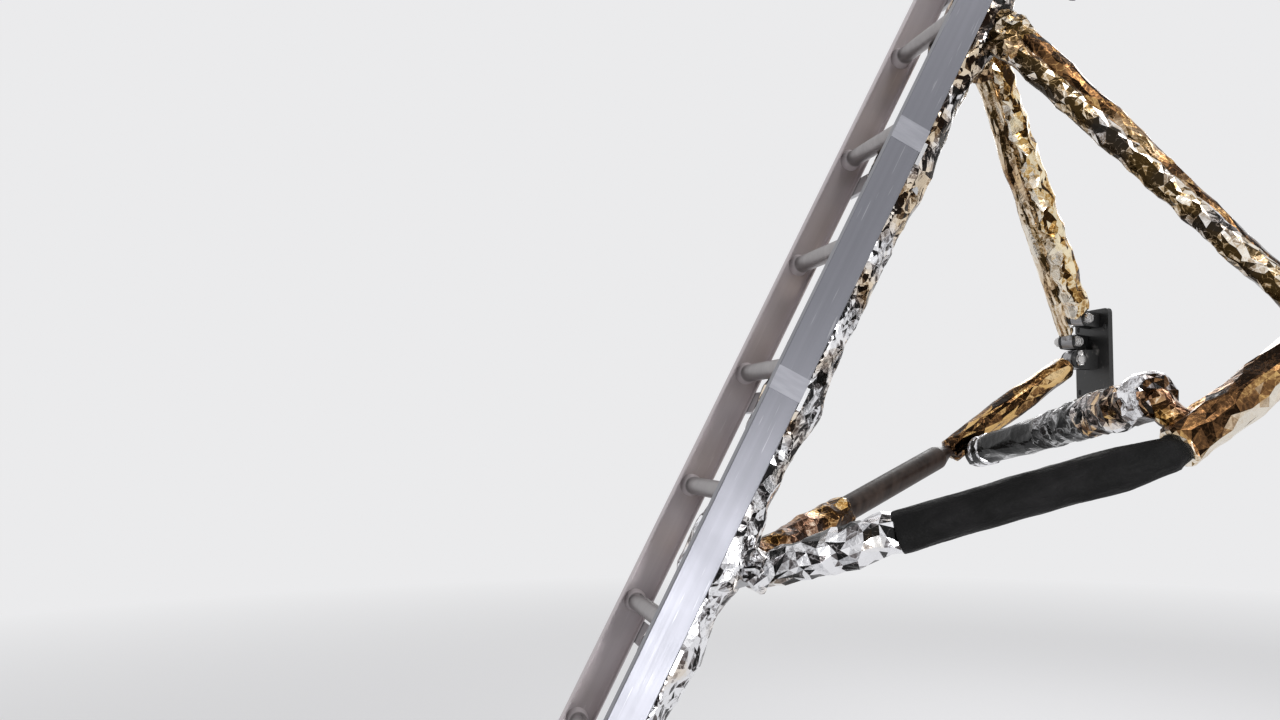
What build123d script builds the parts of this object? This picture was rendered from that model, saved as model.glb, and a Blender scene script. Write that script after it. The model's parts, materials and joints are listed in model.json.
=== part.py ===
from build123d import *
import math
import os

# A landing gear leg of a lunar lander, full size, with its boarding ladder.
# Millimetres, +Z up, +X inboard towards the hull, Y across the leg.
# The origin is the centre of the lower bolt pattern, on the face that meets the hull.

# Fits
seat = 0.3              # clearance between pieces that seat on each other
pin_radius = 8.0
eye_radius = 19.0
eye_width = 28.0
arm_eye_width = 38.0
ear_thickness = 7.0
neck_radius = 13.0      # bars beside their eyes
eye_clear = 14.0        # from an eye's rim to where its bar starts to swell
taper = 46.0            # length over which a bar swells

# Leg axis, measured from the centre of the foot ball
leg_tilt = 27.15        # degrees from upright, leaning towards the hull
ball_x = -1696.0
ball_z = -1492.0

# Primary strut: distances along the leg from the ball
ball_radius = 38.0
ball_neck_radius = 18.0
ball_neck_length = 110.0
inner_radius = 36.0
inner_taper = 24.0
inner_overlap = 260.0   # how far the inner cylinder runs inside the outer one
bore_spare = 20.0       # bore beyond the inner cylinder's end
outer_radius = 50.0
outer_bottom = 560.0
outer_top = 2640.0
gland_radius = 57.0
gland_height = 46.0
gland_slots = 6         # spanner slots round the gland's lower half
gland_slot_width = 12.0
gland_slot_depth = 5.0
head_radius = 50.0
head_height = 96.0
head_cone = 18.0
head_cap_radius = 28.0
collar_wall = 10.0

# Pins beside the primary strut: from the leg axis inboard, sideways, and along the leg
knee_pin = (85.0, 50.0, 1190.0)
brace_pin = (60.0, 60.0, 2452.0)
outrigger_pin = (64.0, 56.0, 2496.0)
top_strut_pin = (70.0, 46.0, 2690.0)
knee_collar_half = 48.0
apex_collar_below = 12.0  # collar below the brace pin, and above the outrigger pin
apex_collar_above = 30.0
knee_ear_reach = 70.0
apex_ear_reach = 52.0
head_ear_reach = 60.0

# Side trusses: places of their ends
half_span = 430.0       # from the middle plane to each side truss
hinge_x = -62.0         # the arm's hull pin, from the hull face
brace_foot = (-90.0, 19.0, 46.0)       # hull pins: x, how far inside the truss's plane, z
outrigger_foot = (-94.0, 72.0, 102.0)
top_fitting_x = -44.0
top_fitting_z = 1056.0
corner_x = -410.0
corner_z = -230.0
arm_radius = {"near": 37.0, "far": 24.0}
arm_eye_radius = 25.0
arm_neck_radius = 17.0
arm_neck_length = 8.0   # neck beyond the eye's rim
arm_taper = 32.0
sleeve_start = 26.0     # corner fitting's sleeve, from the corner pin along the arm
sleeve_base = 10.0
sleeve_end = 96.0
sleeve_wall = 6.0
lug_radius = 18.0
cup_base = 12.0
cup_depth = 26.0
cup_wall = 6.0
brace_radius = 16.0
outrigger_radius = 17.0
top_strut_radius = 26.0
cross_radius = 30.0
cross_near = (-403.0, -374.0, -123.0)
cross_far = (-368.0, 374.0, -240.0)

# Secondary struts, with their ends as shares of the length from the knee
rod_radius = 24.0
rod_taper = 24.0
rod_end = 0.62
cylinder_radius = 29.0
cylinder_taper = 50.0
lagging_start = 30.0    # from the rod's neck
lagging_end = {"near": 0.358, "far": 0.410}
lagging_gap = 3.0       # from the lagging to the cylinder's mouth
lagging_lip = 8.0       # the lagging's rounded lower end
lagging_lip_length = 14.0
lagging_radius = {"near": 41.0, "far": 33.0}
blanket_wall = 13.0

# Hull brackets
plate_thickness = 12.0
plate_width = 152.0
plate_corner = 14.0
bolt_radius = 7.0
bolt_side = 60.0
lower_bolt_up = 84.0
lower_plate_low = -108.0
lower_plate_high = 132.0
upper_bolt_up = 40.0
upper_plate_half = 62.0
bracket_ear_reach = 140.0

# Ladder, placed from the leg axis
ladder_out = 71.0       # from the leg axis to the rung axes, outboard
rung_pitch = 280.0
rung_count = 9
first_rung_along = 2976.0
rung_radius = 19.0
rung_groove = 5.0
rung_groove_depth = 2.5
rung_groove_apart = 14.0
cup_radius = 25.0
cup_length = 24.0
rail_gap = 310.0        # clear width between the rails
rail_depth = 69.0
rail_width = 25.0
rail_wall = 4.0
rail_corner = 2.0
rail_overhang = 60.0    # rail past the end rungs
standoff_alongs = (2600.0, 2080.0, 1520.0, 960.0)
standoff_height = 50.0
standoff_plate = 8.0
standoff_wall = 8.0

# Footpad, placed from the ball centre
pad_radius = 470.0
pad_drop = 130.0        # ball centre above the ground face
pad_sole_radius = 210.0
pad_flare = 60.0        # the rim's steeper outer band
pad_flare_rise = 96.0
pad_flare_inside = 74.0
pad_rise_inside = 116.0
pad_rim_height = 44.0   # rim above the ball centre
pad_rim_band = 14.0
pad_wall = 16.0
socket_wall = 15.0
socket_opening = 46.0   # degrees from the leg axis to the retainer's lip
retainer_height = 30.0
retainer_step = 14.0
retainer_top_radius = 42.0
hub_radius = 100.0
hub_flange = 12.0

tilt = math.radians(leg_tilt)
leg = Plane(origin=(ball_x, 0, ball_z), x_dir=(math.cos(tilt), 0, -math.sin(tilt)),
            z_dir=(math.sin(tilt), 0, math.cos(tilt)))
sides = {"near": -1, "far": 1}
low = (Align.CENTER, Align.CENTER, Align.MIN)


def on_leg(out, side, along):
    return leg.from_local_coords(Vector(out, side, along))


def placed(shape, out, side, along):
    return leg.location * Pos(out, side, along) * shape


def turned(start, end, profile):
    """Revolves (distance from start, radius) rows about the line from start to end."""
    frame = Plane(origin=start, z_dir=end - start)
    rows = [(0, profile[0][0]), *((radius, along) for along, radius in profile), (0, profile[-1][0])]
    face = make_face(Plane.XZ * Polyline(*rows, close=True))
    return frame.location * revolve(face, Axis.Z)


def pin_axis(direction):
    """The level direction square to a strut."""
    return Vector(0, 0, 1).cross(direction).normalized()


def across(point, axis, radius, length):
    """A round bar centred on point, along axis."""
    start = Plane(origin=point - axis * (length / 2), z_dir=axis)
    return start.location * Cylinder(radius, length, align=low)


def ears(point, axis, toward, reach, radius=eye_radius, width=eye_width):
    """A fork's two ears about a pin, running back to what carries them."""
    toward = (toward - axis * toward.dot(axis)).normalized()
    flat = Plane(origin=point, x_dir=toward, z_dir=axis)
    outline = Circle(radius) + Pos(reach / 2, 0) * Rectangle(reach, 2 * radius)
    ear = extrude(outline - Circle(pin_radius + seat), ear_thickness)
    gap = width / 2 + seat
    return [flat.location * Pos(0, 0, at) * ear for at in (gap, -gap - ear_thickness)]


def pin(point, axis, width=eye_width):
    return across(point, axis, pin_radius, width + 2 * (seat + ear_thickness))


def eye(point, axis, radius=eye_radius, width=eye_width):
    return across(point, axis, radius, width)


def bored(shape, point, axis):
    """The shape with a pin hole through its eye."""
    return shape - across(point, axis, pin_radius + seat, 3 * eye_width)


def link(start, end, radius):
    """A tube with a tapered end and an eye at each end."""
    length = (end - start).length
    axis = pin_axis(end - start)
    clear = eye_radius + eye_clear
    bar = turned(start, end, [(0, neck_radius), (clear, neck_radius), (clear + taper, radius),
                              (length - clear - taper, radius), (length - clear, neck_radius),
                              (length, neck_radius)])
    bar = bar + eye(start, axis) + eye(end, axis)
    return bored(bored(bar, start, axis), end, axis)


def one(shape):
    """The single solid of a fused shape."""
    return shape.solids()[0] if len(shape.solids()) == 1 else shape


parts = {}

# Primary strut
inner_top = outer_bottom + inner_overlap
parts["strut_outer_cylinder"] = placed(
    Cylinder(outer_radius, outer_top - outer_bottom, align=low)
    - Cylinder(inner_radius + seat, inner_overlap + bore_spare, align=low), 0, 0, outer_bottom)
shank = turned(Vector(0, 0, 0), Vector(0, 0, inner_top), [
    (0, ball_neck_radius), (ball_neck_length - inner_taper, ball_neck_radius),
    (ball_neck_length, inner_radius), (inner_top, inner_radius)])
parts["strut_inner_cylinder"] = placed(Sphere(ball_radius) + shank, 0, 0, 0)
gland = Cylinder(gland_radius, gland_height, align=low)
gland -= Cylinder(inner_radius + seat, gland_height, align=low)
gland -= Pos(0, 0, gland_height / 2) * Cylinder(outer_radius + seat, gland_height, align=low)
slot = Pos(gland_radius, 0, 0) * Box(2 * gland_slot_depth, gland_slot_width, gland_height / 2)
for k in range(gland_slots):
    gland -= Rot(0, 0, k * 360 / gland_slots) * slot
parts["strut_gland"] = placed(gland, 0, 0, outer_bottom - gland_height / 2 - seat)


def collar(bottom, top, ear_sets):
    """A clamp ring about the outer cylinder, with forks on it."""
    ring = placed(Cylinder(outer_radius + collar_wall, top - bottom, align=low), 0, 0, bottom)
    for fork in ear_sets:
        for ear in fork:
            ring += ear
    return one(ring - placed(Cylinder(outer_radius + seat, 4 * (top - bottom)), 0, 0, (bottom + top) / 2))


def beside_leg(place, sign):
    out, side, along = place
    return on_leg(out, sign * side, along)


def at_hull(place, sign):
    x, inset, z = place
    return Vector(x, sign * (half_span - inset), z)


# Ends of the struts, by side
ends = {}
for side, sign in sides.items():
    ends[side] = {
        "knee": beside_leg(knee_pin, sign),
        "corner": Vector(corner_x, sign * half_span, corner_z),
        "hinge": Vector(hinge_x, sign * half_span, 0),
        "brace_top": beside_leg(brace_pin, sign),
        "brace_foot": at_hull(brace_foot, sign),
        "outrigger_top": beside_leg(outrigger_pin, sign),
        "outrigger_foot": at_hull(outrigger_foot, sign),
        "top_in": beside_leg(top_strut_pin, sign),
        "top_hull": Vector(top_fitting_x, sign * half_span, top_fitting_z),
    }

links = (  # name, start, end, radius
    ("side_brace", "brace_top", "brace_foot", brace_radius),
    ("outrigger_strut", "outrigger_top", "outrigger_foot", outrigger_radius),
    ("top_strut", "top_in", "top_hull", top_strut_radius),
)
for side in sides:
    for name, start, end, radius in links:
        parts[f"{side}_{name}"] = link(ends[side][start], ends[side][end], radius)


def fork_at(side, start, end, reach, toward=None):
    """The ears that hold the link's start, running back against the link unless told where."""
    first, last = ends[side][start], ends[side][end]
    return ears(first, pin_axis(last - first), toward or (first - last), reach)


def fork_on_leg(side, start, end, place):
    """The ears of a pin beside the leg, running square to the leg's axis."""
    return fork_at(side, start, end, apex_ear_reach, on_leg(0, 0, place[2]) - ends[side][start])


def pin_at(side, start, end):
    first, last = ends[side][start], ends[side][end]
    return pin(first, pin_axis(last - first))


apex_forks = []
for side in sides:
    apex_forks.append(fork_on_leg(side, "brace_top", "brace_foot", brace_pin))
    apex_forks.append(fork_on_leg(side, "outrigger_top", "outrigger_foot", outrigger_pin))
apex_bottom, apex_top = brace_pin[2] - apex_collar_below, outrigger_pin[2] + apex_collar_above
parts["apex_collar"] = collar(apex_bottom, apex_top, apex_forks)
knee_forks = [fork_at(side, "knee", "corner", knee_ear_reach) for side in sides]
parts["knee_collar"] = collar(knee_pin[2] - knee_collar_half, knee_pin[2] + knee_collar_half, knee_forks)

head = placed(turned(Vector(0, 0, 0), Vector(0, 0, head_height), [
    (0, head_radius), (head_height, head_radius), (head_height + head_cone, head_cap_radius)]),
    0, 0, outer_top + seat)
for side in sides:
    for ear in fork_at(side, "top_in", "top_hull", head_ear_reach):
        head += ear
below_head = Cylinder(outer_radius + seat, outer_top, align=low)
parts["strut_head"] = one(head - placed(below_head, 0, 0, seat))


def corner_axis(side):
    """The corner pin stands square to the truss arm and to the secondary strut."""
    strut = ends[side]["knee"] - ends[side]["corner"]
    arm = ends[side]["hinge"] - ends[side]["corner"]
    return strut.cross(arm).normalized()


# Secondary struts, from the knee to the truss corner
for side, sign in sides.items():
    knee, corner = ends[side]["knee"], ends[side]["corner"]
    length = (corner - knee).length
    way = (corner - knee).normalized()
    axis = pin_axis(way)
    clear = eye_radius + eye_clear
    inner_end = rod_end * length
    rod = turned(knee, corner, [(0, neck_radius), (clear, neck_radius), (clear + rod_taper, rod_radius),
                                (inner_end, rod_radius)])
    parts[f"{side}_secondary_rod"] = bored(rod + eye(knee, axis), knee, axis)
    start = lagging_end[side] * length + lagging_gap
    closed = length - clear - cylinder_taper
    tube = turned(knee, corner, [(start, cylinder_radius), (closed, cylinder_radius),
                                 (length - clear, neck_radius), (length, neck_radius)])
    tube += eye(corner, corner_axis(side))
    tube -= turned(knee, corner, [(start, rod_radius + seat), (inner_end + seat, rod_radius + seat)])
    parts[f"{side}_secondary_cylinder"] = bored(tube, corner, corner_axis(side))
    wrap = lagging_radius[side]
    lag_start = clear + lagging_start
    lag_end = lagging_end[side] * length
    parts[f"{side}_strut_lagging"] = turned(knee, corner, [
        (lag_start, wrap - lagging_lip), (lag_start + lagging_lip_length, wrap), (lag_end, wrap)]) - turned(
        knee, corner, [(lag_start, rod_radius + seat), (lag_end, rod_radius + seat)])
    if side == "near":
        inside = [(start, cylinder_radius + seat), (closed, cylinder_radius + seat),
                  (length - clear, neck_radius + seat)]
        outside = [(along, radius + blanket_wall) for along, radius in inside]
        parts["near_strut_blanket"] = turned(knee, corner, outside) - turned(knee, corner, inside)

# Truss arms, corner fittings and cross tube
level = Vector(0, 1, 0)
cross_ends = {"near": Vector(*cross_near), "far": Vector(*cross_far)}
for side, sign in sides.items():
    corner, hinge = ends[side]["corner"], ends[side]["hinge"]
    radius, spigot_radius = arm_radius[side], arm_radius[side] - sleeve_wall
    length = (hinge - corner).length
    neck = length - arm_eye_radius - arm_neck_length
    arm = turned(corner, hinge, [
        (sleeve_start + sleeve_base, spigot_radius), (sleeve_end + seat, spigot_radius),
        (sleeve_end + seat, radius), (neck - arm_taper, radius),
        (neck, arm_neck_radius), (length, arm_neck_radius)])
    arm += eye(hinge, level, arm_eye_radius, arm_eye_width)
    parts[f"{side}_truss_arm"] = bored(arm, hinge, level)
    sleeve = turned(corner, hinge, [(sleeve_start, radius), (sleeve_end, radius)])
    for ear in ears(corner, corner_axis(side), hinge - corner, sleeve_start + sleeve_base / 2):
        sleeve += ear
    lug = cross_ends[side]
    outward = (cross_ends["far"] - cross_ends["near"]).normalized() * sign
    root = corner + (hinge - corner).normalized() * ((sleeve_start + sleeve_end) / 2)
    sleeve += turned(root, lug, [(0, lug_radius), ((lug - root).length, lug_radius)])
    cup = cross_radius + cup_wall
    sleeve += turned(lug + outward * cup_base, lug - outward * cup_depth,
                     [(0, cup), (cup_base + cup_depth, cup)])
    sleeve -= turned(corner, hinge, [(sleeve_start + sleeve_base - seat, spigot_radius + seat),
                                     (length, spigot_radius + seat)])
    sleeve -= turned(lug - outward * seat, lug - 2 * outward * cup_depth,
                     [(0, cross_radius + seat), (2 * cup_depth, cross_radius + seat)])
    parts[f"{side}_corner_fitting"] = one(sleeve)
span = (cross_ends["far"] - cross_ends["near"]).length
parts["cross_tube"] = turned(cross_ends["near"], cross_ends["far"],
                             [(2 * seat, cross_radius), (span - 2 * seat, cross_radius)])


# Hull brackets

def bracket(middle, bottom, top, bolt_heights, forks):
    """A plate bolted to the hull, with its bolt holes and the forks that stand on it."""
    plate = Box(plate_thickness, plate_width, top - bottom)
    plate = fillet(plate.edges().filter_by(Axis.X), plate_corner)
    plate = Pos(-plate_thickness / 2, middle, (bottom + top) / 2) * plate
    hole = Rot(0, 90, 0) * Cylinder(bolt_radius, 3 * plate_thickness)
    for y in (-bolt_side, bolt_side):
        for z in bolt_heights:
            plate -= Pos(-plate_thickness / 2, middle + y, z) * hole
    beyond = Box(plate_width, 3 * plate_width, 2 * (top - bottom))
    beyond = Pos((plate_width - plate_thickness) / 2, middle, (bottom + top) / 2) * beyond
    for fork in forks:
        for ear in fork:
            plate += ear - beyond
    return one(plate)


inboard = Vector(1, 0, 0)
for side, sign in sides.items():
    middle = sign * half_span
    hinge_fork = ears(ends[side]["hinge"], level, inboard, -hinge_x, arm_eye_radius, arm_eye_width)
    brace_forks = [fork_at(side, foot, top, bracket_ear_reach, inboard)
                   for foot, top in (("brace_foot", "brace_top"), ("outrigger_foot", "outrigger_top"))]
    parts[f"{side}_lower_bracket"] = bracket(middle, lower_plate_low, lower_plate_high,
                                             (-lower_bolt_up, lower_bolt_up), [hinge_fork, *brace_forks])
    parts[f"{side}_upper_bracket"] = bracket(
        middle, top_fitting_z - upper_plate_half, top_fitting_z + upper_plate_half,
        (top_fitting_z - upper_bolt_up, top_fitting_z + upper_bolt_up),
        [fork_at(side, "top_hull", "top_in", bracket_ear_reach, inboard)])

# Pins
pins = []
for side in sides:
    for start, end in (("knee", "corner"), ("brace_top", "brace_foot"), ("brace_foot", "brace_top"),
                       ("outrigger_top", "outrigger_foot"), ("outrigger_foot", "outrigger_top"),
                       ("top_in", "top_hull"), ("top_hull", "top_in")):
        pins.append(pin_at(side, start, end))
    pins.append(pin(ends[side]["hinge"], level, arm_eye_width))
    pins.append(pin(ends[side]["corner"], corner_axis(side)))
parts["joint_pins"] = Compound(children=pins)

# Ladder
rail_bottom = first_rung_along - (rung_count - 1) * rung_pitch - rail_overhang
rail_length = first_rung_along + rail_overhang - rail_bottom
for side, sign in sides.items():
    channel = Pos(0, -sign * rail_wall) * Rectangle(rail_depth - 2 * rail_wall, rail_width)
    rail = extrude(RectangleRounded(rail_depth, rail_width, rail_corner) - channel, rail_length)
    parts[f"{side}_ladder_rail"] = placed(rail, -ladder_out, sign * (rail_gap + rail_width) / 2, rail_bottom)
web = rail_gap / 2 + rail_width - rail_wall - seat
rung = Rot(90, 0, 0) * Cylinder(rung_radius, 2 * web)
for sign in (-1, 1):
    cup = Cone(cup_radius, rung_radius, cup_length, align=low)
    rung += Pos(0, sign * web, 0) * Rot(sign * 90, 0, 0) * cup
    rung -= Pos(sign * rung_groove_apart / 2, 0, rung_radius) * Box(
        rung_groove, rail_gap - 2 * cup_length, 2 * rung_groove_depth)
rungs = [placed(rung, -ladder_out, 0, first_rung_along - k * rung_pitch) for k in range(rung_count)]
parts["ladder_rungs"] = Compound(children=rungs)
standoffs = []
back = -ladder_out + rail_depth / 2 + seat
for along in standoff_alongs:
    plate = Box(standoff_plate, rail_gap + 2 * rail_width, standoff_height)
    plate = Pos(back + standoff_plate / 2, 0, 0) * plate
    ring = Cylinder(outer_radius + standoff_wall, standoff_height)
    standoffs.append(placed(plate + ring - Cylinder(outer_radius + seat, 2 * standoff_height), 0, 0, along))
parts["ladder_standoffs"] = Compound(children=standoffs)

# Footpad
ball = Vector(ball_x, 0, ball_z)
ground = -pad_drop
dish_rows = [(0, ground), (pad_sole_radius, ground), (pad_radius - pad_flare, ground + pad_flare_rise),
             (pad_radius, pad_rim_height - pad_rim_band), (pad_radius, pad_rim_height),
             (pad_radius - pad_wall, pad_rim_height),
             (pad_radius - pad_flare_inside, ground + pad_rise_inside),
             (pad_sole_radius - pad_wall / 2, ground + pad_wall), (0, ground + pad_wall)]
dish = revolve(make_face(Plane.XZ * Polyline(*dish_rows, close=True)), Axis.Z)
parts["footpad_dish"] = Pos(*ball) * dish
socket_outer = ball_radius + seat + socket_wall
hub_bottom = ground + pad_wall + seat
hub_rows = [(0, hub_bottom), (hub_radius, hub_bottom), (hub_radius, hub_bottom + hub_flange),
            (socket_outer, -socket_outer / 2), (0, -socket_outer / 2)]
hub = Pos(*ball) * revolve(make_face(Plane.XZ * Polyline(*hub_rows, close=True)), Axis.Z)
hub += placed(Cylinder(socket_outer, socket_outer, align=low), 0, 0, -socket_outer)
hub -= placed(Cylinder(2 * hub_radius, hub_radius, align=low), 0, 0, 0)
parts["footpad_socket"] = one(hub - placed(Sphere(ball_radius + seat), 0, 0, 0))
retainer = turned(Vector(0, 0, 0), Vector(0, 0, retainer_height), [
    (seat, socket_outer), (retainer_step, socket_outer), (retainer_height, retainer_top_radius)])
retainer -= Sphere(ball_radius + seat)
mouth = 3 * ball_radius
retainer -= Cone(0, mouth * math.tan(math.radians(socket_opening)), mouth, align=low)
parts["footpad_retainer"] = one(placed(retainer, 0, 0, 0))

os.makedirs("parts", exist_ok=True)
for name, shape in parts.items():
    export_step(shape, f"parts/{name}.step")
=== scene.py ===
import json
import math

import bpy
import numpy
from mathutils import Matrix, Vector, noise


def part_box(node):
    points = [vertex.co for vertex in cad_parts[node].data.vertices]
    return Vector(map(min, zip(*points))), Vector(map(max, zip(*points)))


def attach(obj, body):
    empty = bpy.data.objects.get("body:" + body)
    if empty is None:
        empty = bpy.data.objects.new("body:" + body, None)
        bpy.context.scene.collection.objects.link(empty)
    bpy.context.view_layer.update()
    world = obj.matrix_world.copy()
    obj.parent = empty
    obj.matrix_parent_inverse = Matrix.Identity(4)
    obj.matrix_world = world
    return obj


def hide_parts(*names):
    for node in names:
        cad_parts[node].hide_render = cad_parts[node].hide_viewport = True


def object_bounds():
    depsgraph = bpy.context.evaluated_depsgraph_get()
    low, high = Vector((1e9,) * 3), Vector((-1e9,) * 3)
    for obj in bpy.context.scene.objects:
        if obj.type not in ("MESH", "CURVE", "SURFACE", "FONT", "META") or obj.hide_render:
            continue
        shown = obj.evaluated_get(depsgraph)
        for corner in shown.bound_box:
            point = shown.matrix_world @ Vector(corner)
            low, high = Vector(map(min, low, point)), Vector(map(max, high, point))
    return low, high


# A landing gear leg of a lunar lander with its boarding ladder, in metres.
# +X runs inboard along the brackets' bolts, +Z is up and the camera looks across the leg.
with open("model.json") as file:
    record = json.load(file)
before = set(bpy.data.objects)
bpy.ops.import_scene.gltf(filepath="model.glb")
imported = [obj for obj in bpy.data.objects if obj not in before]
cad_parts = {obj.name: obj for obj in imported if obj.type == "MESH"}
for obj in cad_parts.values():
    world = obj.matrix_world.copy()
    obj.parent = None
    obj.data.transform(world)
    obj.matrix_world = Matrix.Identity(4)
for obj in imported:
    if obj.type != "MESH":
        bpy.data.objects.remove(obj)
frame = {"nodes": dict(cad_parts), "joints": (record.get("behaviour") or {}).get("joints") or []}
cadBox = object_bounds()
nodes = frame["nodes"]
ball = Vector(frame["joints"][0]["pos_m"])
smoothAngle = math.radians(35)


# Small helpers

def deselectAll():
    bpy.ops.object.select_all(action="DESELECT")


def makeActive(piece):
    deselectAll()
    piece.select_set(True)
    bpy.context.view_layer.objects.active = piece


def settle(piece, name):
    # puts the place into the mesh, so the object sits at the origin
    makeActive(piece)
    bpy.ops.object.transform_apply(location=True, rotation=True, scale=True)
    piece.name = name
    piece.data.name = name
    return piece


def joined(stems, name):
    deselectAll()
    for stem in stems:
        stem.select_set(True)
    bpy.context.view_layer.objects.active = stems[0]
    if len(stems) > 1:
        bpy.ops.object.join()
    return settle(stems[0], name)


def applyModifier(piece, kind, **values):
    makeActive(piece)
    modifier = piece.modifiers.new(kind, kind)
    for name, value in values.items():
        setattr(modifier, name, value)
    bpy.ops.object.modifier_apply(modifier=modifier.name)


def smoothed(piece):
    makeActive(piece)
    bpy.ops.object.shade_smooth_by_angle(angle=smoothAngle)


def dress(piece, finish):
    # every piece made here moves with the leg
    piece.data.materials.clear()
    piece.data.materials.append(finishes[finish])
    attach(piece, "leg")


def longestWay(points):
    # the middle of some points, and the direction in which they reach furthest
    middle = points.mean(axis=0)
    return middle, numpy.linalg.svd(points - middle, full_matrices=False)[2][0]


def nodeLine(node, along="x"):
    # the two ends of a bar's own axis, first the one that lies lower along that letter
    points = numpy.array([v.co for v in nodes[node].data.vertices])
    middle, direction = longestWay(points)
    if direction["xyz".index(along)] < 0:
        direction = -direction
    places = (points - middle) @ direction
    return (Vector(middle + direction * places.min()), Vector(middle + direction * places.max()))


def way(line):
    return (line[1] - line[0]).normalized()


def between(line, distance, fromEnd=False):
    # the point this far from one of the line's ends, towards the other
    start, end = reversed(line) if fromEnd else line
    return start + way((start, end)) * distance


def addStem(start, end, radius, endRadius=None, sides=40):
    # a round bar from one point to another, or a cone with two radii
    direction = end - start
    bpy.ops.mesh.primitive_cone_add(
        vertices=sides, radius1=radius, radius2=radius if endRadius is None else endRadius,
        depth=direction.length, location=(start + end) / 2,
        rotation=direction.to_track_quat("Z", "Y").to_euler())
    return bpy.context.active_object


def grainTurn(line):
    # the turn that stands a piece's own direction upright, for its textures
    return (line[1] - line[0]).rotation_difference(Vector((0, 0, 1))).to_euler()


legLine = nodeLine("strut_outer_cylinder")
blanketLine = nodeLine("near_strut_blanket")
nearArmLine = nodeLine("near_truss_arm")
crossLine = tuple(reversed(nodeLine("cross_tube", "y")))
alongLeg = grainTurn(legLine)


# Materials

class Wire:
    # a shader socket that can stand in a sum
    def __init__(self, shading, socket):
        self.shading = shading
        self.socket = socket

    def maths(self, operation, first, second=0.0):
        return self.shading.node("ShaderNodeMath", {"operation": operation}, {0: first, 1: second})

    def other(self, output):
        # another output of the same node
        return Wire(self.shading, self.socket.node.outputs[output])

    def largest(self, other):
        return self.maths("MAXIMUM", self, other)

    def __add__(self, other):
        return self.maths("ADD", self, other)

    def __sub__(self, other):
        return self.maths("SUBTRACT", self, other)

    def __rsub__(self, other):
        return self.maths("SUBTRACT", other, self)

    def __mul__(self, other):
        return self.maths("MULTIPLY", self, other)

    def __pow__(self, other):
        return self.maths("POWER", self, other)

    def __abs__(self):
        return self.maths("ABSOLUTE", self)

    __radd__ = __add__
    __rmul__ = __mul__


class Shading:
    # a node tree, with the one method that adds nodes to it
    def __init__(self, tree):
        self.tree = tree

    def node(self, kind, settings=None, sockets=None, output=0):
        made = self.tree.nodes.new(kind)
        for name, value in (settings or {}).items():
            if name == "stops":
                while len(made.color_ramp.elements) < len(value):
                    made.color_ramp.elements.new(1.0)
                for element, (place, colour) in zip(made.color_ramp.elements, value):
                    element.position = place
                    element.color = (*colour, 1.0)
            else:
                setattr(made, name, value)
        for name, value in (sockets or {}).items():
            self.put(made.inputs[name], value)
        return Wire(self, made.outputs[output])

    def put(self, socket, value):
        if isinstance(value, Wire):
            self.tree.links.new(value.socket, socket)
        else:
            socket.default_value = value

    def spread(self, amount, low, high, to=(0.0, 1.0)):
        return self.node("ShaderNodeMapRange", {"clamp": True}, {
            "Value": amount, "From Min": low, "From Max": high, "To Min": to[0], "To Max": to[1]})


class Finish(Shading):
    # one material, with its main shader ready
    def __init__(self, name, **values):
        self.material = bpy.data.materials.new(name)
        self.material.use_nodes = True
        super().__init__(self.material.node_tree)
        self.shader = self.tree.nodes["Principled BSDF"]
        self.feed(**values)

    def feed(self, **wires):
        for socket, wire in wires.items():
            self.put(self.shader.inputs[socket.replace("_", " ")], wire)
        return self.material

    def spots(self):
        return self.node("ShaderNodeTexCoord", output="Object")

    def places(self, turn=(0, 0, 0), stretch=(1, 1, 1)):
        turned = self.node("ShaderNodeMapping", {}, {"Vector": self.spots(), "Rotation": turn})
        return self.node("ShaderNodeMapping", {}, {"Vector": turned, "Scale": stretch})

    def cloud(self, where, scale, detail=4.0, roughness=0.55):
        return self.node("ShaderNodeTexNoise", {}, {
            "Vector": where, "Scale": scale, "Detail": detail, "Roughness": roughness})

    def cells(self, where, scale, feature="F1"):
        return self.node("ShaderNodeTexVoronoi", {"feature": feature}, {"Vector": where, "Scale": scale},
                         "Distance")

    def ramp(self, amount, *stops):
        return self.node("ShaderNodeValToRGB", {"stops": stops}, {"Fac": amount}, "Color")

    def blend(self, share, first, second):
        return self.node("ShaderNodeMix", {"data_type": "RGBA"}, {0: share, 6: first, 7: second}, 2)

    def bump(self, height, depth, strength):
        return self.node("ShaderNodeBump", {}, {"Height": height, "Distance": depth, "Strength": strength})


def grey(level):
    return (level, level, level)


def solid(colour):
    return (*colour, 1.0)


foilColours = {  # dark, middle, pale and bright
    "silver": (grey(0.02), (0.22, 0.20, 0.20), (0.64, 0.64, 0.66), (0.95, 0.95, 0.97)),
    "cream": ((0.05, 0.03, 0.01), (0.42, 0.28, 0.13), (0.80, 0.66, 0.48), (0.95, 0.88, 0.76)),
    "gold": ((0.03, 0.014, 0.004), (0.30, 0.15, 0.04), (0.70, 0.44, 0.15), (0.97, 0.84, 0.58)),
    "amber": ((0.015, 0.008, 0.004), (0.10, 0.05, 0.022), (0.26, 0.13, 0.05), (0.72, 0.46, 0.18)),
    "copper": ((0.03, 0.014, 0.008), (0.20, 0.10, 0.06), (0.50, 0.30, 0.20), (0.90, 0.72, 0.56)),
    "black": (grey(0.004), grey(0.012), grey(0.05), grey(0.50)),
    "brown": ((0.014, 0.008, 0.005), (0.13, 0.075, 0.038), (0.38, 0.26, 0.15), (0.82, 0.68, 0.50)),
}
foilStops = (0.26, 0.42, 0.60, 0.80)
# The edge scale and width give the size of the painted glint lines on the creases.
foilGrain = dict(toneShare=0.82, fineShare=0.42, darker=0.12, bendScale=40.0, bend=0.03, paintedGlintScale=0.33,
                 paintedGlintWidth=0.07, creaseScale=0.55, creaseFine=0.7, depth=0.0009, wearScale=22.0,
                 wear=(0.6, 1.8))


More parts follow.
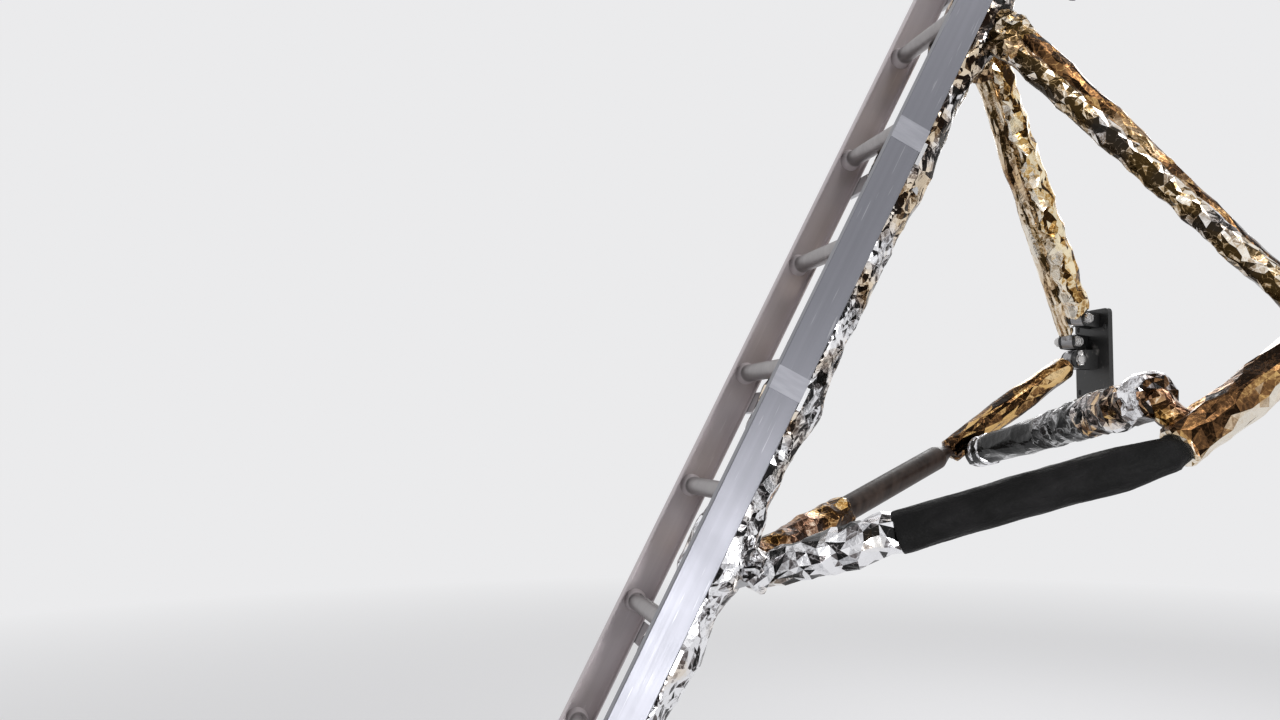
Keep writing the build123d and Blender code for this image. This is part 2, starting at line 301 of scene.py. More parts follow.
def foilFinish(name, colours, others, roughness, crinkle=150.0, paintedGlint=0.22, metal=1.0, shine=0.5):
    # metal film: each facet has its own tone, which is painted reflection and painted light, in a mix of
    # two sets of colours, with fine crinkles and painted glints along the creases over it
    grain = foilGrain
    finish = Finish(name, Metallic=metal, Roughness=roughness, Specular_IOR_Level=shine)
    where = finish.places()
    # the tone attribute carries each facet's painted reflection and painted light
    tone = finish.node("ShaderNodeAttribute", {"attribute_name": "tone"}, output="Fac")
    tint = finish.node("ShaderNodeAttribute", {"attribute_name": "tint"}, output="Fac")
    fine = finish.cloud(where, crinkle, 3.0)
    # painted highlight: glints brighten the colour along wandering crease lines
    paintedGlintPlaces = finish.node("ShaderNodeVectorMath", {"operation": "MULTIPLY_ADD"}, {
        0: finish.node("ShaderNodeTexNoise", {}, {"Vector": where, "Scale": grain["bendScale"]}, "Color"),
        1: 3 * (grain["bend"],), 2: where})
    edges = finish.cells(paintedGlintPlaces, crinkle * grain["paintedGlintScale"], "DISTANCE_TO_EDGE")
    amount = (tone * grain["toneShare"] + fine * grain["fineShare"]
              + finish.spread(edges, 0.0, grain["paintedGlintWidth"], (paintedGlint, 0.0)) - grain["darker"])
    ramps = [finish.ramp(amount, *zip(foilStops, foilColours[chosen])) for chosen in (colours, others)]
    creases = finish.cells(where, crinkle * grain["creaseScale"]) + fine * grain["creaseFine"]
    wear = tuple(roughness * share for share in grain["wear"])
    worn = finish.spread(finish.cloud(where, grain["wearScale"]), 0.35, 0.7, wear)
    return finish.feed(Base_Color=finish.blend(tint, *ramps), Roughness=worn,
                       Normal=finish.bump(creases, grain["depth"], 0.7))


alloyGrain = dict(lines=420.0, bands=60.0, patches=7.0, scratches=260.0, scratchShare=0.15,
                  scratchColour=grey(0.88), shadeShare=0.45, metal=0.9, paintedHighlightDull=0.7)


def aluminiumFinish(name, colour, shade, roughness=0.36, paintedHighlightCollars=None):
    # drawn alloy: lengthwise die lines, scuffs and a dull patchy skin
    # collars are a painted highlight: paler, duller ends, from one distance to another either side of the
    # leg's middle plane
    grain = alloyGrain
    finish = Finish(name, Metallic=grain["metal"], Roughness=roughness)
    lines = finish.places(alongLeg, (1.0, 1.0, 0.012))
    scuffs = finish.places(alongLeg, (1.0, 1.0, 0.05))
    drawn = finish.cloud(lines, grain["lines"], 3.0)
    bands = finish.spread(finish.cloud(lines, grain["bands"], 2.0), 0.35, 0.65, (0.0, grain["shadeShare"]))
    patches = finish.cloud(finish.places(alongLeg), grain["patches"])
    dulled = finish.spread(patches, 0.40, 0.75, (0.0, grain["shadeShare"]))
    scratches = finish.spread(finish.cloud(scuffs, grain["scratches"], 1.0, 0.4), 0.70, 0.76)
    banded = finish.blend(bands, solid(colour), solid(shade))
    patchy = finish.blend(dulled, banded, solid(shade))
    colours = finish.blend(scratches * grain["scratchShare"], patchy, solid(grain["scratchColour"]))
    # painted highlight: the collars are made paler and less metallic
    if paintedHighlightCollars:
        across = finish.node("ShaderNodeSeparateXYZ", {}, {"Vector": finish.spots()}, "Y")
        pale = finish.spread(abs(across), paintedHighlightCollars["inner"], paintedHighlightCollars["outer"])
        colours = finish.blend(pale, colours, solid(paintedHighlightCollars["colour"]))
        finish.feed(Metallic=grain["metal"] - pale * grain["paintedHighlightDull"])
    return finish.feed(Base_Color=colours, Roughness=roughness + 0.16 * patches + 0.10 * drawn - 0.13,
                       Normal=finish.bump(drawn * 0.6 + scratches * -0.5, 0.0002, 0.35))


def wrapFinish(name, line, dark, light, roughness):
    # matte black film with soft long wrinkles
    finish = Finish(name, Metallic=0.0, Roughness=roughness, Specular_IOR_Level=0.14)
    wrinkles = finish.cloud(finish.places(grainTurn(line), (1.0, 1.0, 0.45)), 60.0, 5.0, 0.65)
    dust = finish.spread(finish.cloud(finish.places(), 14.0, 5.0, 0.65), 0.42, 0.72)
    rough = finish.spread(wrinkles, 0.3, 0.7, (roughness - 0.1, roughness + 0.12))
    return finish.feed(Base_Color=finish.blend(dust, solid(dark), solid(light)), Roughness=rough,
                       Normal=finish.bump(wrinkles, 0.006, 0.9))


def paintFinish(name, colour, wornColour, roughness=0.45, metal=0.3):
    # hard coating, rubbed in patches
    finish = Finish(name, Metallic=metal, Roughness=roughness)
    where = finish.places()
    grain = finish.cloud(where, 320.0, 2.0)
    rubs = finish.spread(finish.cloud(where, 24.0, 6.0, 0.7), 0.58, 0.72)
    return finish.feed(Base_Color=finish.blend(rubs, solid(colour), solid(wornColour)),
                       Roughness=roughness + 0.2 * grain - 0.1, Normal=finish.bump(grain, 0.0003, 0.4))


def steelFinish(name, colour, roughness=0.25):
    # turned bright metal with faint rings and smears
    finish = Finish(name, Metallic=1.0, Roughness=roughness)
    smears = finish.cloud(finish.places(), 30.0)
    rings = finish.cloud(finish.places(alongLeg, (0.05, 0.05, 1.0)), 500.0, 2.0)
    colours = finish.ramp(smears, (0.3, tuple(0.8 * c for c in colour)), (0.7, colour))
    rough = finish.spread(smears + rings * 0.3, 0.4, 0.9, (roughness * 0.7, roughness * 1.5))
    return finish.feed(Base_Color=colours, Roughness=rough, Normal=finish.bump(rings, 0.0001, 0.3))


def filmFinish(name, dark, light, roughness):
    # dull brown film drawn tight over a rod, with long soft ripples
    finish = Finish(name, Metallic=0.0, Roughness=roughness, Specular_IOR_Level=0.18)
    ripples = finish.cloud(finish.places(alongLeg, (1.0, 1.0, 0.2)), 45.0, 2.0, 0.5)
    rough = finish.spread(ripples, 0.3, 0.7, (roughness - 0.08, roughness + 0.12))
    return finish.feed(Base_Color=finish.ramp(ripples, (0.3, dark), (0.7, light)), Roughness=rough,
                       Normal=finish.bump(ripples, 0.002, 0.4))


def dishFinish(name, colour, dustColour, ringColour, roughness=0.52):
    # spun sheet: rings about the dish's middle, and dust in patches
    finish = Finish(name, Metallic=0.9, Roughness=roughness)
    spots = finish.spots()
    where = finish.node("ShaderNodeMapping", {}, {"Vector": spots, "Location": (-ball.x, 0.0, 0.0)})
    outward = finish.node("ShaderNodeSeparateXYZ", {}, {"Vector": where}, "X")
    across = outward.other("Y")
    reach = (outward * outward + across * across) ** 0.5
    rings = finish.node("ShaderNodeTexNoise", {"noise_dimensions": "1D"},
                        {"W": reach, "Scale": 160.0, "Detail": 4.0})
    dust = finish.spread(finish.cloud(spots, 9.0, 5.0, 0.65), 0.45, 0.7)
    dusty = finish.blend(dust * 0.5, solid(colour), solid(dustColour))
    ringed = finish.blend(finish.spread(rings, 0.3, 0.7, (0.0, 0.25)), dusty, solid(ringColour))
    return finish.feed(Base_Color=ringed, Roughness=roughness + 0.25 * dust + 0.1 * rings - 0.05,
                       Normal=finish.bump(rings, 0.0006, 0.4))


def tapeFinish(name, dark, light):
    # pale matte metal tape, slightly rippled
    finish = Finish(name, Metallic=0.5, Roughness=0.55)
    ripples = finish.cloud(finish.places(alongLeg, (0.2, 1.0, 1.0)), 90.0, 3.0)
    return finish.feed(Base_Color=finish.ramp(ripples, (0.3, dark), (0.7, light)),
                       Normal=finish.bump(ripples, 0.0004, 0.5))


finishes = {
    # The rails are one alloy coloured apart: the near rail's dark blue-grey is painted shade, and the far
    # rail's warm pinkish grey is painted warm reflection and shade
    "nearRailPaintedShade": aluminiumFinish("nearRailPaintedShadeAlloy", (0.208, 0.210, 0.235), (0.162, 0.165, 0.185)),
    "farRailPaintedWarmLight": aluminiumFinish("farRailPaintedWarmLightAlloy", (0.54, 0.49, 0.50), (0.43, 0.39, 0.40), 0.42),
    "standoff": aluminiumFinish("standoffAlloy", (0.62, 0.62, 0.63), (0.50, 0.50, 0.51), 0.34),
    # the rung's collars are a painted highlight
    "rung": aluminiumFinish("rungAlloy", (0.36, 0.34, 0.34), (0.25, 0.235, 0.235), 0.40,
                            dict(inner=0.150, outer=0.156, colour=(0.66, 0.61, 0.62))),
    # The glint value sets how bright each foil's painted highlights on the creases are.
    "silver": foilFinish("silverFoil", "silver", "cream", 0.16),
    "legFoil": foilFinish("silverBrownFoil", "silver", "brown", 0.16),
    "silverCream": foilFinish("silverCreamFoil", "silver", "cream", 0.18),
    "cream": foilFinish("creamFoil", "cream", "gold", 0.2),
    "brownGold": foilFinish("brownGoldFoil", "gold", "amber", 0.2),
    "amber": foilFinish("amberFilm", "amber", "cream", 0.14),
    "nearArm": foilFinish("nearArmFoil", "amber", "cream", 0.18, paintedGlint=0.12),
    "darkCream": foilFinish("darkCreamFilm", "amber", "cream", 0.16),
    "apexFoil": foilFinish("apexFoilSkin", "amber", "cream", 0.18),
    "copper": foilFinish("copperFoil", "copper", "gold", 0.25),
    "looseFoil": foilFinish("looseFoil", "amber", "silver", 0.2),
    "blackSilver": foilFinish("blackSilverFilm", "black", "silver", 0.2, paintedGlint=0.30, metal=0.0, shine=0.2),
    "blackFilm": foilFinish("blackFilm", "black", "black", 0.2, 90.0, paintedGlint=0.05, metal=0.0, shine=0.15),
    "blackWrap": wrapFinish("blackWrap", blanketLine, grey(0.003), (0.009, 0.0085, 0.009), 0.55),
    "brownRod": filmFinish("brownFilm", (0.016, 0.010, 0.008), (0.050, 0.034, 0.027), 0.36),
    "bracket": paintFinish("blackAnodised", grey(0.03), (0.22, 0.21, 0.20)),
    "fitting": paintFinish("greyFitting", (0.40, 0.40, 0.41), (0.60, 0.60, 0.60), 0.42, 0.8),
    "steel": steelFinish("pinSteel", (0.62, 0.61, 0.60)),
    "rod": steelFinish("brightRod", (0.80, 0.80, 0.82), 0.12),
    "dish": dishFinish("spunDish", (0.66, 0.67, 0.69), (0.46, 0.44, 0.42), grey(0.35)),
    "tape": tapeFinish("paleTape", (0.26, 0.262, 0.29), (0.32, 0.322, 0.355)),
}

nodeFinish = {  # brackets are black, and what isn't named here is a grey fitting
    "near_ladder_rail": "nearRailPaintedShade", "far_ladder_rail": "farRailPaintedWarmLight", "ladder_rungs": "rung",
    "ladder_standoffs": "standoff", "knee_collar": "standoff",
    "near_strut_blanket": "blackWrap", "near_secondary_cylinder": "blackWrap",
    "far_secondary_cylinder": "brownRod", "far_secondary_rod": "brownRod",
    "near_secondary_rod": "rod", "strut_inner_cylinder": "rod",
    "near_corner_fitting": "amber", "far_corner_fitting": "amber",
    "cross_tube": "bracket", "joint_pins": "steel", "footpad_dish": "dish",
}
for name, node in nodes.items():
    chosen = nodeFinish.get(name, "bracket" if "bracket" in name else "fitting")
    node.data.materials.clear()
    node.data.materials.append(finishes[chosen])
print("finishes done")


# Crumpled foil and wraps

def texture(kind, size):
    made = bpy.data.textures.new(kind, kind)
    made.noise_scale = size
    if kind == "CLOUDS":
        made.noise_depth = 1
    return made


def crumple(piece, line, look):
    # pushes the skin in and out along the piece's own grain, then thins it to facets
    grain = bpy.data.objects.new("grain", None)
    bpy.context.scene.collection.objects.link(grain)
    grain.rotation_euler = (line[1] - line[0]).to_track_quat("Z", "Y").to_euler()
    grain.scale = (1.0, 1.0, look["stretch"])
    for kind, size, depth in look["layers"]:
        applyModifier(piece, "DISPLACE", texture=texture(kind, size), texture_coords="OBJECT",
                      texture_coords_object=grain, strength=depth, mid_level=look["middle"])
    bpy.data.objects.remove(grain)
    squares = len(piece.data.polygons)
    wanted = sum(face.area for face in piece.data.polygons) / (look["facet"] * 1e-6)
    if wanted < 2 * squares:
        applyModifier(piece, "DECIMATE", ratio=wanted / (2 * squares))


def clamped(value):
    return min(1.0, max(0.0, value))


# How wide the patches of each noise are, and how strongly a facet's painted reflection turns with its
# place; the painted light band's edge noise and softness are here too
toneNoise = dict(shift=(3.7, 1.3, 2.1), turning=8.0, spot=0.05, spotShare=0.3, calm=0.09, calmShare=1.8,
                 mottle=0.07, bandEdge=0.03, bandSoft=0.2)


def facetTonesAndPaintedLight(piece, line, look):
    # painted reflection and painted light: each facet's tone comes from where it faces, as a mirror's
    # would, and from the side light and band; its tint mixes two sets of colours at random and along the
    # piece, and the band changes it too
    paintedReflectionTones = piece.data.attributes.new("tone", "FLOAT", "FACE")
    tints = piece.data.attributes.new("tint", "FLOAT", "FACE")
    shift = Vector(toneNoise["shift"]) * look["seed"]
    middle = (line[0] + line[1]) / 2
    for face, tone, tint in zip(piece.data.polygons, paintedReflectionTones.data, tints.data):
        spot = face.center
        # painted reflection: the tone turns with the way the facet faces
        paintedReflection = noise.noise(face.normal * look["flash"] + shift + spot * toneNoise["turning"])
        spotted = noise.noise(spot / toneNoise["spot"] + shift)
        calm = clamped(0.5 + toneNoise["calmShare"] * noise.noise(spot / toneNoise["calm"] - shift))
        mottled = noise.noise(spot / toneNoise["mottle"] + 2.0 * shift)
        # painted light band: facets that face its way turn lighter or darker and change tint
        reach = Vector(look["band"]).dot(face.normal) - look["bandFrom"]
        banded = clamped(reach / toneNoise["bandSoft"] + noise.noise(spot / toneNoise["bandEdge"] + shift))
        place = (spot - middle).dot(way(line))
        swing = look["swing"] * (1.0 - look["calm"] * calm)
        # the lift is painted side light: facets that face its way are lighter
        tone.value = clamped(
            look["tone"] + Vector(look["paintedSideLight"]).dot(face.normal) + swing * paintedReflection
            + toneNoise["spotShare"] * spotted + look["fade"][0] * place + look["bandTone"] * banded)
        tint.value = clamped(
            look["tint"] + look["bandTint"] * banded + look["mottle"] * mottled + look["fade"][1] * place)


# The facet is in square millimetres. A fade changes tone and tint along the piece, for each metre, and
# a band, which is painted light, changes them on the facets that face its way; the lift is painted side
# light.
plainLook = dict(voxel=0.0045, facet=90.0, sharp=True, stretch=1.6, middle=0.35, tone=0.48, swing=1.1,
                 calm=0.3, tint=0.1, mottle=1.5, paintedSideLight=(0.0, 0.0, 0.0), flash=3.5, fade=(0.0, 0.0),
                 band=(0.0, 0.0, 0.0), bandFrom=1.0, bandTone=0.0, bandTint=0.0, seed=1)


def foilPiece(name, stems, line, look):
    look = dict(plainLook, **look)
    piece = joined(stems, name)
    applyModifier(piece, "REMESH", mode="VOXEL", voxel_size=look["voxel"])
    crumple(piece, line, look)
    if look["sharp"]:
        makeActive(piece)
        bpy.ops.object.shade_flat()
    else:
        smoothed(piece)
    facetTonesAndPaintedLight(piece, line, look)
    dress(piece, look["finish"])
    print("skin", name, len(piece.data.polygons))
    return piece


fineCrumple = (("CLOUDS", 0.09, 0.016), ("VORONOI", 0.036, 0.014))
sharpFolds = (("CLOUDS", 0.12, 0.008), ("VORONOI", 0.060, 0.022))
longFolds = (("CLOUDS", 0.08, 0.008), ("VORONOI", 0.032, 0.013))
tightFolds = (("CLOUDS", 0.07, 0.006), ("VORONOI", 0.026, 0.009))
softFolds = (("CLOUDS", 0.10, 0.003), ("VORONOI", 0.050, 0.005), ("VORONOI", 0.018, 0.003))
ringFolds = (("CLOUDS", 0.02, 0.004),)
thinFolds = (("VORONOI", 0.030, 0.007),)

# Foil on the struts: how far it stops from the node's ends, its radius, grain and finish; the lift and
# band in the looks are painted light
strutFoils = {
    "near_side_brace": dict(
        name="near_brace_foil", clear=(0.012, 0.050), radius=0.0215, finish="silverCream",
        slot="silver_foil", stretch=1.5, middle=0.2, facet=65.0, layers=tightFolds, tone=0.30, swing=1.4,
        flash=4.5, tint=0.85, paintedSideLight=(0.22, 0.0, 0.22), seed=1),
    "near_outrigger_strut": dict(
        name="near_outrigger_foil", clear=(0.012, 0.050), radius=0.0225, finish="amber",
        slot="amber_film", stretch=2.6, middle=0.2, facet=100.0, layers=tightFolds, tone=0.27, calm=0.6,
        tint=-0.3, seed=2),
    "far_side_brace": dict(
        name="far_brace_foil", clear=(0.012, 0.050), radius=0.0165, finish="darkCream",
        slot="gold_foil", stretch=2.4, voxel=0.003, middle=0.1, facet=50.0, layers=thinFolds, tone=0.54,
        tint=0.70, mottle=1.0, seed=3),
    "far_outrigger_strut": dict(
        name="far_outrigger_foil", clear=(0.012, 0.045), radius=0.0305, finish="cream",
        slot="gold_foil", stretch=1.5, facet=60.0, layers=longFolds, tone=0.66, swing=1.4, calm=0.5,
        tint=0.0, mottle=0.6, band=(1.0, 0.0, 0.0), bandFrom=-0.42, bandTone=-0.14, bandTint=1.3, seed=4),
    "near_top_strut": dict(
        name="near_top_strut_foil", clear=(0.030, 0.060), radius=0.031, finish="silver",
        slot="silver_foil", layers=longFolds, seed=5),
    "far_top_strut": dict(
        name="far_top_strut_foil", clear=(0.030, 0.060), radius=0.031, finish="silver",
        slot="silver_foil", layers=longFolds, seed=6),
    "near_truss_arm": dict(
        name="near_arm_foil", clear=(-0.012, 0.060), radius=0.042, finish="nearArm",
        slot="gold_foil", stretch=2.4, facet=140.0, layers=longFolds, tone=0.26, swing=0.9, tint=-0.3,
        mottle=0.5, paintedSideLight=(0.0, 0.0, 0.24), band=(0.0, 0.0, -1.0), bandFrom=0.12, bandTone=0.72,
        bandTint=1.5, seed=7),
    "far_truss_arm": dict(
        name="far_arm_foil", clear=(-0.030, 0.060), radius=0.0285, tip=(0.022, 0.030), finish="brownGold",
        slot="gold_foil", stretch=3.0, facet=55.0, layers=tightFolds, tone=0.48, swing=1.5, tint=1.05,
        mottle=0.8, seed=8),
    "near_strut_lagging": dict(
        name="near_lagging_foil", clear=(0.060, 0.0), radius=0.0385, tip=(0.140, 0.030), finish="silver",
        slot="silver_foil", stretch=0.9, layers=sharpFolds, facet=170.0, swing=2.2, flash=3.0, calm=0.0,
        tone=0.56, tint=-0.5, paintedSideLight=(0.0, 0.0, -0.30), band=(0.0, 0.0, -1.0), bandFrom=0.80,
        bandTone=-0.50, seed=9),
    "far_strut_lagging": dict(
        name="far_lagging_foil", clear=(-0.070, 0.0), radius=0.034, finish="copper",
        slot="gold_foil", layers=longFolds, facet=50.0, tone=0.19, swing=1.3, tint=0.30, seed=10),
}
replacedLaggings = ("near_strut_lagging", "far_strut_lagging")
for node, plan in strutFoils.items():
    line = nodeLine(node)
    near, far = plan["clear"]
    start = between(line, near)
    stems = [addStem(start, between(line, far, fromEnd=True), plan["radius"])]
    if "tip" in plan:
        length, radius = plan["tip"]
        stems.append(addStem(between(line, near - length), start, radius, plan["radius"]))
    foil = foilPiece(plan["name"], stems, line, plan)
    if node in replacedLaggings:
        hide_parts(node)

eyeRadius = 0.019


def onLeg(distance):
    return ball + way(legLine) * distance


def pinPlace(node):
    # the pin's centre lies one eye radius inside the bar's outer end
    return between(nodeLine(node), eyeRadius)


# Foil on the primary strut, with swells over its collars and standoffs, and arms to the knee pins
legFoil = dict(voxel=0.005, facet=34.0, middle=0.5, layers=fineCrumple, finish="legFoil",
               slot="silver_foil", swing=2.0, flash=5.5, tone=0.50, tint=0.22, fade=(-0.26, 0.60), seed=20,
               radius=0.054, bottom=0.555, top=2.752, knee=1.190, kneeArm=0.039, pastPin=0.2, slope=0.070)
swells = (  # middle, radius and height
    (0.960, 0.0625, 0.050), (1.190, 0.067, 0.10), (1.520, 0.0625, 0.050), (2.080, 0.0625, 0.050),
    (2.470, 0.066, 0.10),
)
stems = [addStem(onLeg(legFoil["bottom"]), onLeg(legFoil["top"]), legFoil["radius"])]
for place, radius, height in swells:
    bottom, top = place - height / 2, place + height / 2
    stems.append(addStem(onLeg(bottom), onLeg(top), radius))
    stems.append(addStem(onLeg(bottom - legFoil["slope"]), onLeg(bottom), legFoil["radius"], radius))
    stems.append(addStem(onLeg(top), onLeg(top + legFoil["slope"]), radius, legFoil["radius"]))
knee = onLeg(legFoil["knee"])
for rod in ("near_secondary_rod", "far_secondary_rod"):
    pin = pinPlace(rod)
    stems.append(addStem(knee, pin + (pin - knee) * legFoil["pastPin"], legFoil["kneeArm"]))
legSkin = foilPiece("primary_strut_foil", stems, legLine, legFoil)
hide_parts("strut_outer_cylinder")

# Brown and gold foil bunched over the forks that hold the four braces
apexFoil = dict(layers=tightFolds, finish="apexFoil", slot="gold_foil", middle=0.2, facet=70.0, swing=1.4,
                stretch=1.0, tone=0.30, tint=0.25, seed=21, radius=0.029, endRadius=0.022, rootShare=0.5,
                reach=0.070)
stems = []
for bar in ("near_side_brace", "near_outrigger_strut", "far_side_brace", "far_outrigger_strut"):
    pin = pinPlace(bar)
    root = legLine[0] + way(legLine) * (pin - legLine[0]).dot(way(legLine))
    stems.append(addStem(root + (pin - root) * apexFoil["rootShare"], pin, apexFoil["radius"]))
    stems.append(addStem(pin, between(nodeLine(bar), apexFoil["reach"]), apexFoil["radius"],
                         apexFoil["endRadius"]))
foilPiece("apex_foil", stems, legLine, apexFoil)

# Black wrap on the near secondary strut, tapering to the corner and over its pin onto the arm
blanket = dict(voxel=0.004, facet=10.0, sharp=False, stretch=3.0, layers=softFolds, finish="blackWrap",
               slot="black_wrap", seed=30, middle=0.45, radius=0.0415, endRadius=0.0315, before=0.004,
               taper=0.052, lap=0.012, past=0.026, pinBeforeArm=0.036)
taperStart = between(blanketLine, blanket["taper"], fromEnd=True)
cornerPin = between(nearArmLine, -blanket["pinBeforeArm"])
armLine = (cornerPin, nearArmLine[1])
wrap = foilPiece("near_blanket_wrap", [
    addStem(between(blanketLine, -blanket["before"]), taperStart, blanket["radius"]),
    addStem(taperStart, cornerPin + way(blanketLine) * blanket["lap"], blanket["radius"],
            blanket["endRadius"]),
    addStem(between(armLine, -blanket["lap"]), between(armLine, blanket["past"]), blanket["endRadius"]),
], blanketLine, blanket)
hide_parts("near_strut_blanket")

# The cross tube's skins, from its far end: black film, crumpled film, loose foil and a pale cuff; the
# film's and the cuff's bands are painted light
crossSkins = (  # name, from, to, radii, look
    ("cross_tube_film", -0.014, 0.500, (0.0325, 0.0325), dict(
        finish="blackFilm", slot="black_wrap", stretch=4.0, layers=longFolds, facet=45.0, tone=0.02,
        swing=0.7, band=(0.0, 0.0, -1.0), bandFrom=0.72, bandTone=0.62, seed=31)),
    ("cross_tube_crumple", 0.330, 0.560, (0.0345, 0.0350), dict(
        finish="blackSilver", slot="black_wrap", stretch=1.0, layers=fineCrumple, facet=45.0, tint=-0.15,
        tone=0.10, swing=1.6, seed=32)),
    ("cross_tube_loose_foil", 0.530, 0.720, (0.036, 0.038), dict(
        finish="looseFoil", slot="silver_foil", stretch=0.8, layers=fineCrumple, facet=45.0, tint=0.45,
        tone=0.22, swing=1.5, seed=33)),
    ("cross_tube_cuff", 0.708, 0.771, (0.0395, 0.041), dict(
        finish="looseFoil", slot="silver_foil", layers=fineCrumple, facet=60.0, tone=0.66, tint=1.6,
        mottle=0.5, band=(0.0, -0.8, -0.6), bandFrom=0.45, bandTone=-0.45, bandTint=-1.6, seed=34)),
)
for name, start, end, (radius, endRadius), look in crossSkins:
    stem = addStem(between(crossLine, start), between(crossLine, end), radius, endRadius)
    skin = foilPiece(name, [stem], crossLine, look)
    if name == "cross_tube_film":
        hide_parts("cross_tube")

# Two bright rings by the cross tube's far end
crossRings = dict(places=(0.010, 0.052), width=0.012, radius=0.0390, voxel=0.003, finish="silver",
                  slot="silver_foil", layers=ringFolds, facet=25.0, tone=0.70, tint=-1.0, seed=35)
for number, place in enumerate(crossRings["places"]):
    start, end = between(crossLine, place), between(crossLine, place + crossRings["width"])
    foilPiece(f"cross_tube_ring_{number + 1}", [addStem(start, end, crossRings["radius"])], crossLine,
              crossRings)

# Copper foil round the near lug, between the cuff and the arm
lugFoil = dict(finish="copper", slot="gold_foil", layers=fineCrumple, facet=45.0, tone=0.30, tint=-0.1,
               seed=36, radius=0.0225, ontoArm=0.024)
lugStem = addStem(crossLine[1], between(nearArmLine, lugFoil["ontoArm"]), lugFoil["radius"])
foilPiece("near_lug_foil", [lugStem], crossLine, lugFoil)
print("skins done")

# Tape on the near rail, the full depth of its face
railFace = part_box("near_ladder_rail")[0].y
tapes = dict(alongs=(2.106, 1.535), length=0.050, depth=0.070, thick=0.0008, proud=0.0003, out=-0.071,
             edge=0.0002)
acrossLeg = Vector((math.cos(-alongLeg.y), 0.0, -math.sin(-alongLeg.y)))
for number, along in enumerate(tapes["alongs"]):
    middle = onLeg(along) + acrossLeg * tapes["out"]
    middle.y = railFace - tapes["proud"]
    bpy.ops.mesh.primitive_cube_add(size=1.0, location=middle, rotation=(0.0, -alongLeg.y, 0.0),
                                    scale=(tapes["depth"], tapes["thick"], tapes["length"]))
    patch = settle(bpy.context.active_object, f"rail_tape_{number + 1}")
    applyModifier(patch, "BEVEL", width=tapes["edge"], segments=2)
    dress(patch, "tape")

# Pin heads, washers and nuts on the open forks, which are those of the brackets and the strut's head
pinParts = dict(washer=(0.0135, 0.002), head=(0.0115, 0.006), nut=(0.0125, 0.009), stub=(0.0075, 0.013),
                edge=0.0008, bracketX=-0.13, headZ=0.80)
pinStack = (  # part, end of the pin, whether it lies on the washer, sides
    ("washer", 1, False, 32), ("washer", -1, False, 32), ("head", 1, True, 32), ("nut", -1, True, 6),
    ("stub", -1, True, 24),
)


def islands(mesh):
    # the vertices of each separate solid in a mesh
    home = list(range(len(mesh.vertices)))

    def root(v):
        while home[v] != v:
            home[v] = home[home[v]]
            v = home[v]
        return v

    for edge in mesh.edges:
        first, second = (root(v) for v in edge.vertices)
        home[first] = second
    groups = {}
    for vertex in mesh.vertices:
        groups.setdefault(root(vertex.index), []).append(vertex.co)
    return list(groups.values())


fasteners = []
for points in islands(nodes["joint_pins"].data):
    spots = numpy.array(points)
    middle, direction = longestWay(spots)
    half = numpy.abs((spots - middle) @ direction).max()
    middle, direction = Vector(middle), Vector(direction)
    if middle.x < pinParts["bracketX"] and middle.z < pinParts["headZ"]:
        continue
    if direction.y > 0:
        direction = -direction
    for part, sign, onWasher, sides in pinStack:
        radius, height = pinParts[part]
        rise = half + (pinParts["washer"][1] if onWasher else 0.0)
        start = middle + direction * sign * rise
        fasteners.append(addStem(start, start + direction * sign * height, radius, sides=sides))
hardware = joined(fasteners, "pin_hardware")
applyModifier(hardware, "BEVEL", width=pinParts["edge"], segments=2, limit_method="ANGLE")
smoothed(hardware)
dress(hardware, "steel")
print("fasteners done")

# Camera, where the photograph's stood
camera = dict(place=(-1.8017, -2.3614, -0.1820), turn=(93.37, 0.0, -11.52), lens=32.93, sensor=36.0)
bpy.ops.object.camera_add(location=camera["place"], rotation=[math.radians(a) for a in camera["turn"]])
bpy.context.active_object.data.lens = camera["lens"]
bpy.context.active_object.data.sensor_width = camera["sensor"]
bpy.context.scene.camera = bpy.context.active_object

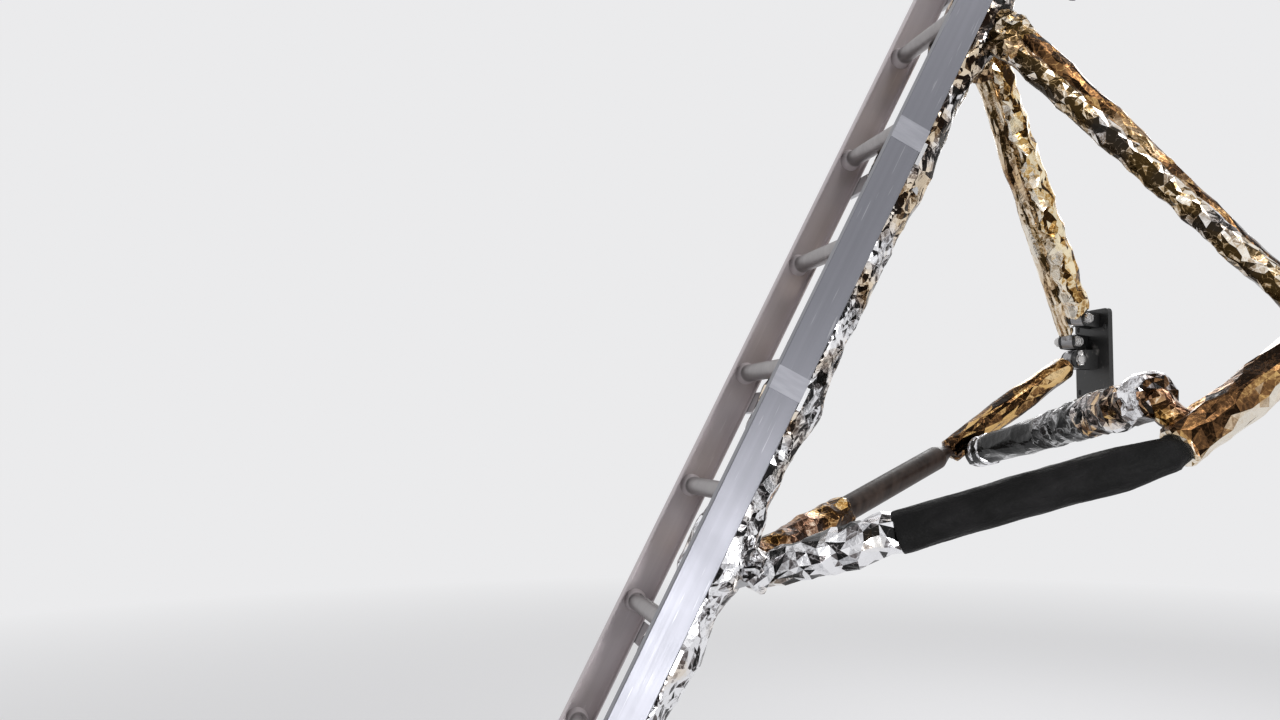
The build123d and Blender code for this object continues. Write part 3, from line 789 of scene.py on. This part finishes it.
# Soft lamps
lamps = (  # name, place, aims at, size, watts, spread in degrees
    ("keyLamp", (-0.95, -2.9, -0.95), (-1.15, -0.2, -0.35), 1.2, 10.5, 90.0),
    ("topLamp", (0.6, -2.6, 3.6), (-0.6, 0.0, 0.2), 2.5, 70.0, 180.0),
    ("backLamp", (1.8, 3.4, 2.2), (-0.6, 0.0, 0.0), 2.5, 70.0, 180.0),
)
for name, place, target, size, watts, spread in lamps:
    aim = Vector(target) - Vector(place)
    bpy.ops.object.light_add(type="AREA", location=place, rotation=aim.to_track_quat("-Z", "Y").to_euler())
    lamp = bpy.context.active_object
    lamp.name = name
    lamp.data.size = size
    lamp.data.energy = watts
    lamp.data.spread = math.radians(spread)

# A pale world: what the camera and mirrors see is at full strength, and what lights the object is less
studio = dict(floorSize=60.0, pale=(0.83, 0.83, 0.84), fill=0.7, fadeFrom=3.0, fadeTo=9.0, shine=0.2,
              roughness=0.7)
world = bpy.data.worlds.new("studioWorld")
bpy.context.scene.world = world
world.use_nodes = True
sky = Shading(world.node_tree)
seen = sky.node("ShaderNodeLightPath", output="Is Camera Ray")
mirrored = seen.largest(seen.other("Is Glossy Ray")).largest(seen.other("Is Transmission Ray"))
background = sky.tree.nodes["Background"]
sky.put(background.inputs["Color"], solid(studio["pale"]))
sky.put(background.inputs["Strength"], sky.spread(mirrored, 0.0, 1.0, (studio["fill"], 1.0)))

# A floor of the same colour, which fades into the world far from the object
floorFinish = Finish("paleFloor", Roughness=studio["roughness"], Base_Color=solid(studio["pale"]),
                     Specular_IOR_Level=studio["shine"])
apart = floorFinish.node("ShaderNodeVectorMath", {"operation": "LENGTH"}, {0: floorFinish.places()},
                         "Value")
glow = floorFinish.node("ShaderNodeEmission", {}, {"Color": solid(studio["pale"]), "Strength": 1.0})
faded = floorFinish.node("ShaderNodeMixShader", {}, {
    0: floorFinish.spread(apart, studio["fadeFrom"], studio["fadeTo"]),
    1: Wire(floorFinish, floorFinish.shader.outputs[0]), 2: glow})
floorFinish.put(floorFinish.tree.nodes["Material Output"].inputs["Surface"], faded)
bpy.ops.mesh.primitive_plane_add(size=studio["floorSize"], location=(0, 0, cadBox[0].z))
floor = bpy.context.active_object
floor.name = "floor"
floor.data.materials.append(floorFinish.material)
bpy.context.scene.view_settings.view_transform = "Standard"
print("studio done")
